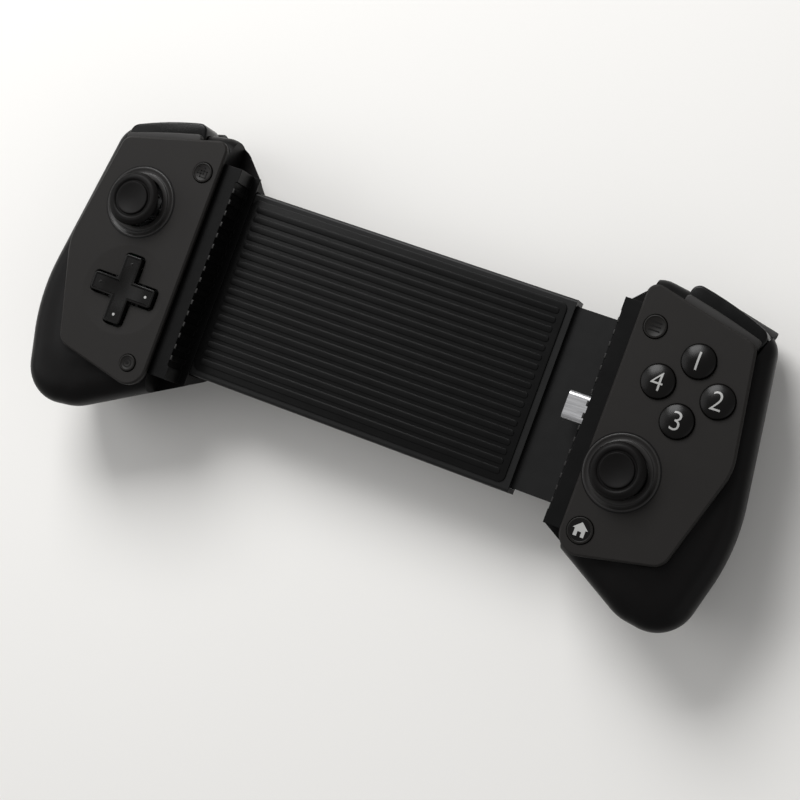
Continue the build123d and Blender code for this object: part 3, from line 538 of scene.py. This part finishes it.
def print_number(text, at, node):
    """A printed number, laid on the crown of a face button."""
    name = f"number_{text}"
    curve = bpy.data.curves.new(name, "FONT")
    curve.body = text
    curve.size = number_size
    curve.offset = -number_thin
    curve.align_x = "CENTER"
    curve.align_y = "CENTER"
    holder = bpy.data.objects.new(name + "_letter", curve)
    bpy.context.collection.objects.link(holder)
    bpy.context.view_layer.update()
    mesh = bpy.data.meshes.new_from_object(holder)
    bpy.data.objects.remove(holder)
    bm = bmesh.new()
    bm.from_mesh(mesh)
    bmesh.ops.remove_doubles(bm, verts=bm.verts, dist=weld)
    xs = [v.co.x for v in bm.verts]
    ys = [v.co.y for v in bm.verts]
    centre = Vector(((max(xs) + min(xs)) / 2, (max(ys) + min(ys)) / 2, 0))
    bmesh.ops.translate(bm, verts=bm.verts, vec=-centre)
    gridded(bm, bm.verts[:] + bm.edges[:] + bm.faces[:], number_pitch, number_size)
    for v in bm.verts:
        v.co.z = dome_height(v.co.xy.length) + number_lift
    walls = bmesh.ops.extrude_face_region(bm, geom=bm.faces[:])
    bmesh.ops.translate(bm, verts=verts_of(walls["geom"]), vec=(0, 0, -number_depth))
    bmesh.ops.translate(bm, verts=bm.verts, vec=(*at, 0))
    piece(bm, name, node, "button_black", finish="mark_white")


button_corners = [
    (0, flange_low),
    (button_radius + button_flange, flange_low),
    (button_radius + button_flange, flange_high),
    (button_radius, flange_high),
    (button_radius, button_top - crown - crown_drop),
    (crown_reach, dome_height(crown_reach), crown_bend),
    (0, button_top, math.asin(crown_reach / crown_radius)),
]
for number in range(1, 5):
    node = f"face_button_{number}"
    at = middle(node)
    piece(lathe(button_corners, (*at, 0)), f"button_cap_{number}", node, "button_black", node)
    print_number(str(number), at, node)


# Small round buttons with a fine raised rim and a plain sign each
small_flange = 0.5 * mm
lip_round, lip_flat, lip_foot, lip_height = 0.25 * mm, 0.42 * mm, 0.60 * mm, 0.18 * mm
lip_bend, foot_bend = math.radians(85), math.radians(-30)
print_low, print_high = 0.08 * mm, 0.03 * mm


def small_button(node, radius):
    """Makes the button's cap; gives its place and the height of its flat."""
    at = middle(node)
    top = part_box(node)[1][2]
    flat = top - lip_height
    corners = [
        (0, flange_low),
        (radius + small_flange, flange_low),
        (radius + small_flange, flange_high),
        (radius, flange_high),
        (radius, top - lip_round),
        (radius - lip_round, top, lip_bend),
        (radius - lip_flat, top),
        (radius - lip_foot, flat, foot_bend),
        (0, flat),
    ]
    cap = lathe(corners, (*at, 0), turns=72)
    piece(cap, f"{node}_cap", node, "small_button_black", node)
    return at, flat


def sign(bm, node, name, finish="print_and_shadow_dark"):
    """A printed sign on a small button."""
    piece(bm, f"{node}_{name}", node, "small_button_black", finish=finish)


at, flat = small_button("menu_button", radius=3.25 * mm)
stripe_size, stripe_pitch, stripe_round = (3.4 * mm, 0.42 * mm), 1.15 * mm, 0.15 * mm
stripes = []
for row in (-1, 0, 1):
    stripe = box_corners((at[0], at[1] + row * stripe_pitch), *stripe_size)
    stripes.append(slab(stripe, flat - print_low, flat + print_high, corner=stripe_round))
sign(join(*stripes), "menu_button", "bars")

at, flat = small_button("share_button", radius=3.0 * mm)
square_shift, square_reach, line_width = 0.5 * mm, 0.95 * mm, 0.28 * mm
line_size = (line_width, 2 * square_reach + line_width)
lines = []
for shift in (-square_shift, square_shift):
    for x, y in four_ways:
        centre = (at[0] + shift + x * square_reach, at[1] - shift + y * square_reach)
        line = box_corners(centre, *(line_size if x else line_size[::-1]))
        lines.append(slab(line, flat - print_low, flat + print_high))
sign(join(*lines), "share_button", "frames")

at, flat = small_button("capture_button", radius=2.5 * mm)
circle = ring_corners(inner=1.05 * mm, outer=1.35 * mm, low=-print_low, high=print_high)
point = peg_corners(radius=0.5 * mm, low=-print_low, high=print_high)
target = [lathe(outline, (*at, flat), turns=48) for outline in (circle, point)]
sign(join(*target), "capture_button", "ring")

at, flat = small_button("home_button", radius=3.7 * mm)
disc_corners = [(0, -0.1), (2.95, -0.1), (2.95, 0.0), (2.9, 0.04), (0, 0.04)]
sign(lathe(scaled(disc_corners), (*at, flat), turns=72), "home_button", "disc")
house_corners = [
    (-1.55, -1.75), (-0.55, -1.75), (-0.55, -0.35), (0.55, -0.35), (0.55, -1.75), (1.55, -1.75), (1.55, 0.35),
    (2.25, 0.35), (0, 2.35), (-2.25, 0.35), (-1.55, 0.35),
]
house_lift, house_round = 0.07 * mm, 0.12 * mm
house_outline = [(at[0] + x, at[1] + y) for x, y in scaled(house_corners)]
house = slab(house_outline, flat - print_low, flat + house_lift, corner=house_round)
sign(house, "home_button", "house", "mark_white")


# Directional pad: a cross with a thin raised rim and a dished middle
pad_at = middle("dpad")
pad_low, pad_high = [corner[2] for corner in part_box("dpad")]
pad_top = pad_high - 0.7 * mm
pad_under = pad_top - 1.9 * mm
span, arm, arm_corner = 20.9 * mm, 5.6 * mm, 0.9 * mm
rim_width, rim_drop, rim_slope = 0.5 * mm, 0.28 * mm, 0.35 * mm
rim_round, rim_steps, wall_normal_below = 0.22 * mm, 3, 0.1
dish_radius, dish_depth, dish_pitch = 7.5 * mm, 0.45 * mm, 0.5 * mm
flange_top = face_z - 4.0 * mm
tab_reach, tab_size = 9.1 * mm, (1.8 * mm, 4.8 * mm)
tab_bite, tab_overlap = 0.4 * mm, 0.2 * mm
dot_reach, bright_dots = 7.9 * mm, 2
dot_corners = [(0, -0.1), (0.42, -0.1), (0.42, 0.01), (0.36, 0.04), (0, 0.04)]


def cross():
    """The cross with its raised rim and its dish, from a grid of three faces by three."""
    shape = bmesh.new()
    bmesh.ops.create_grid(shape, x_segments=3, y_segments=3, size=span / 2)
    for v in shape.verts:
        for axis in (0, 1):
            if abs(v.co[axis]) < span / 4:
                v.co[axis] = math.copysign(arm / 2, v.co[axis])
    spare = [f for f in shape.faces if min(abs(c) for c in f.calc_center_median().xy) > arm / 2]
    bmesh.ops.delete(shape, geom=spare, context="FACES")
    soften(shape, [v for v in shape.verts if len(v.link_faces) == 1], arm_corner, corner_steps, "VERTICES")
    raise_slab(shape, pad_under, pad_top)
    top = [f for f in shape.faces if level(f, pad_top)]
    bmesh.ops.inset_region(shape, faces=top, thickness=rim_width, use_even_offset=True)
    bmesh.ops.inset_region(shape, faces=top, thickness=rim_slope, depth=-rim_drop, use_even_offset=True)
    edges = list({e for f in top for e in f.edges})
    verts = list({v for f in top for v in f.verts})
    for v in verts_of(gridded(shape, verts + edges + top, dish_pitch, dish_radius)):
        part = v.co.xy.length / dish_radius
        if part < 1:
            v.co.z -= dish_depth * (1 - part**2) ** 2
    high = [e for e in shape.edges if level(e, pad_top)]
    outer = [e for e in high if any(abs(f.normal.z) < wall_normal_below for f in e.link_faces)]
    soften(shape, outer, rim_round, rim_steps)
    bmesh.ops.translate(shape, verts=shape.verts, vec=(*pad_at, 0))
    return shape


flange = lathe(scaled(ring_corners(inner=8.2, outer=11.2, low=-0.8, high=0)), (*pad_at, flange_top))
stem = lathe(scaled(peg_corners(radius=1.4, low=0, high=5.0)), (*pad_at, pad_low), turns=32)
forms = [cross(), flange, stem]
for x, y in four_ways:
    centre = (pad_at[0] + x * tab_reach, pad_at[1] + y * tab_reach)
    tab = box_corners(centre, *(tab_size if x else tab_size[::-1]))
    forms.append(slab(tab, flange_top - tab_bite, pad_under + tab_overlap))
piece(join(*forms), "dpad_cross", "dpad", "button_black", "dpad")
for index, (x, y) in enumerate(four_ways):
    at = (pad_at[0] + x * dot_reach, pad_at[1] + y * dot_reach, pad_top - rim_drop)
    dot = lathe(scaled(dot_corners), at, turns=24)
    mark = "mark_white" if index < bright_dots else "print_and_shadow_dark"
    piece(dot, f"dpad_dot_{index + 1}", "dpad", "button_black", finish=mark)


# Stage: a pale floor, three lamps and an even sky
floor_z, floor_reach = cad_box[0][2], 4
floor_dark, floor_mean, floor_light = (0.79, 0.78, 0.76), (0.80, 0.79, 0.77), (0.81, 0.80, 0.78)
floor_material, tree, main, place = shader("floor_pale", floor_mean, rough=0.6, specular=0.2)
floor_cloud = noise(tree, place, grain=0.5, detail=2)
tree.links.new(tint(tree, floor_cloud, floor_dark, floor_light), main.inputs["Base Color"])
bm = bmesh.new()
bmesh.ops.create_grid(bm, x_segments=1, y_segments=1, size=floor_reach)
bmesh.ops.translate(bm, verts=bm.verts, vec=(0, 0, floor_z))
floor_mesh = bpy.data.meshes.new("floor")
bm.to_mesh(floor_mesh)
bm.free()
floor = bpy.data.objects.new("floor", floor_mesh)
floor_mesh.materials.append(floor_material)
bpy.context.collection.objects.link(floor)


def softbox(name, place, size, watts):
    """A square area light aimed at the controller."""
    lamp = bpy.data.lights.new(name, "AREA")
    lamp.shape = "SQUARE"
    lamp.size = size
    lamp.energy = watts
    light = bpy.data.objects.new(name, lamp)
    light.location = place
    light.rotation_euler = Vector(place).to_track_quat("Z", "Y").to_euler()
    bpy.context.collection.objects.link(light)


softbox("key", (-0.45, 0.65, 0.75), size=0.6, watts=11.5)
softbox("side", (-0.9, -0.1, 0.6), size=0.8, watts=3)
softbox("fill", (0.9, -0.3, 0.5), size=0.9, watts=1.2)
world = bpy.data.worlds.new("studio")
world.use_nodes = True
sky = world.node_tree.nodes["Background"]
sky.inputs["Color"].default_value = (0.80, 0.80, 0.80, 1)
sky.inputs["Strength"].default_value = 0.42
bpy.context.scene.world = world
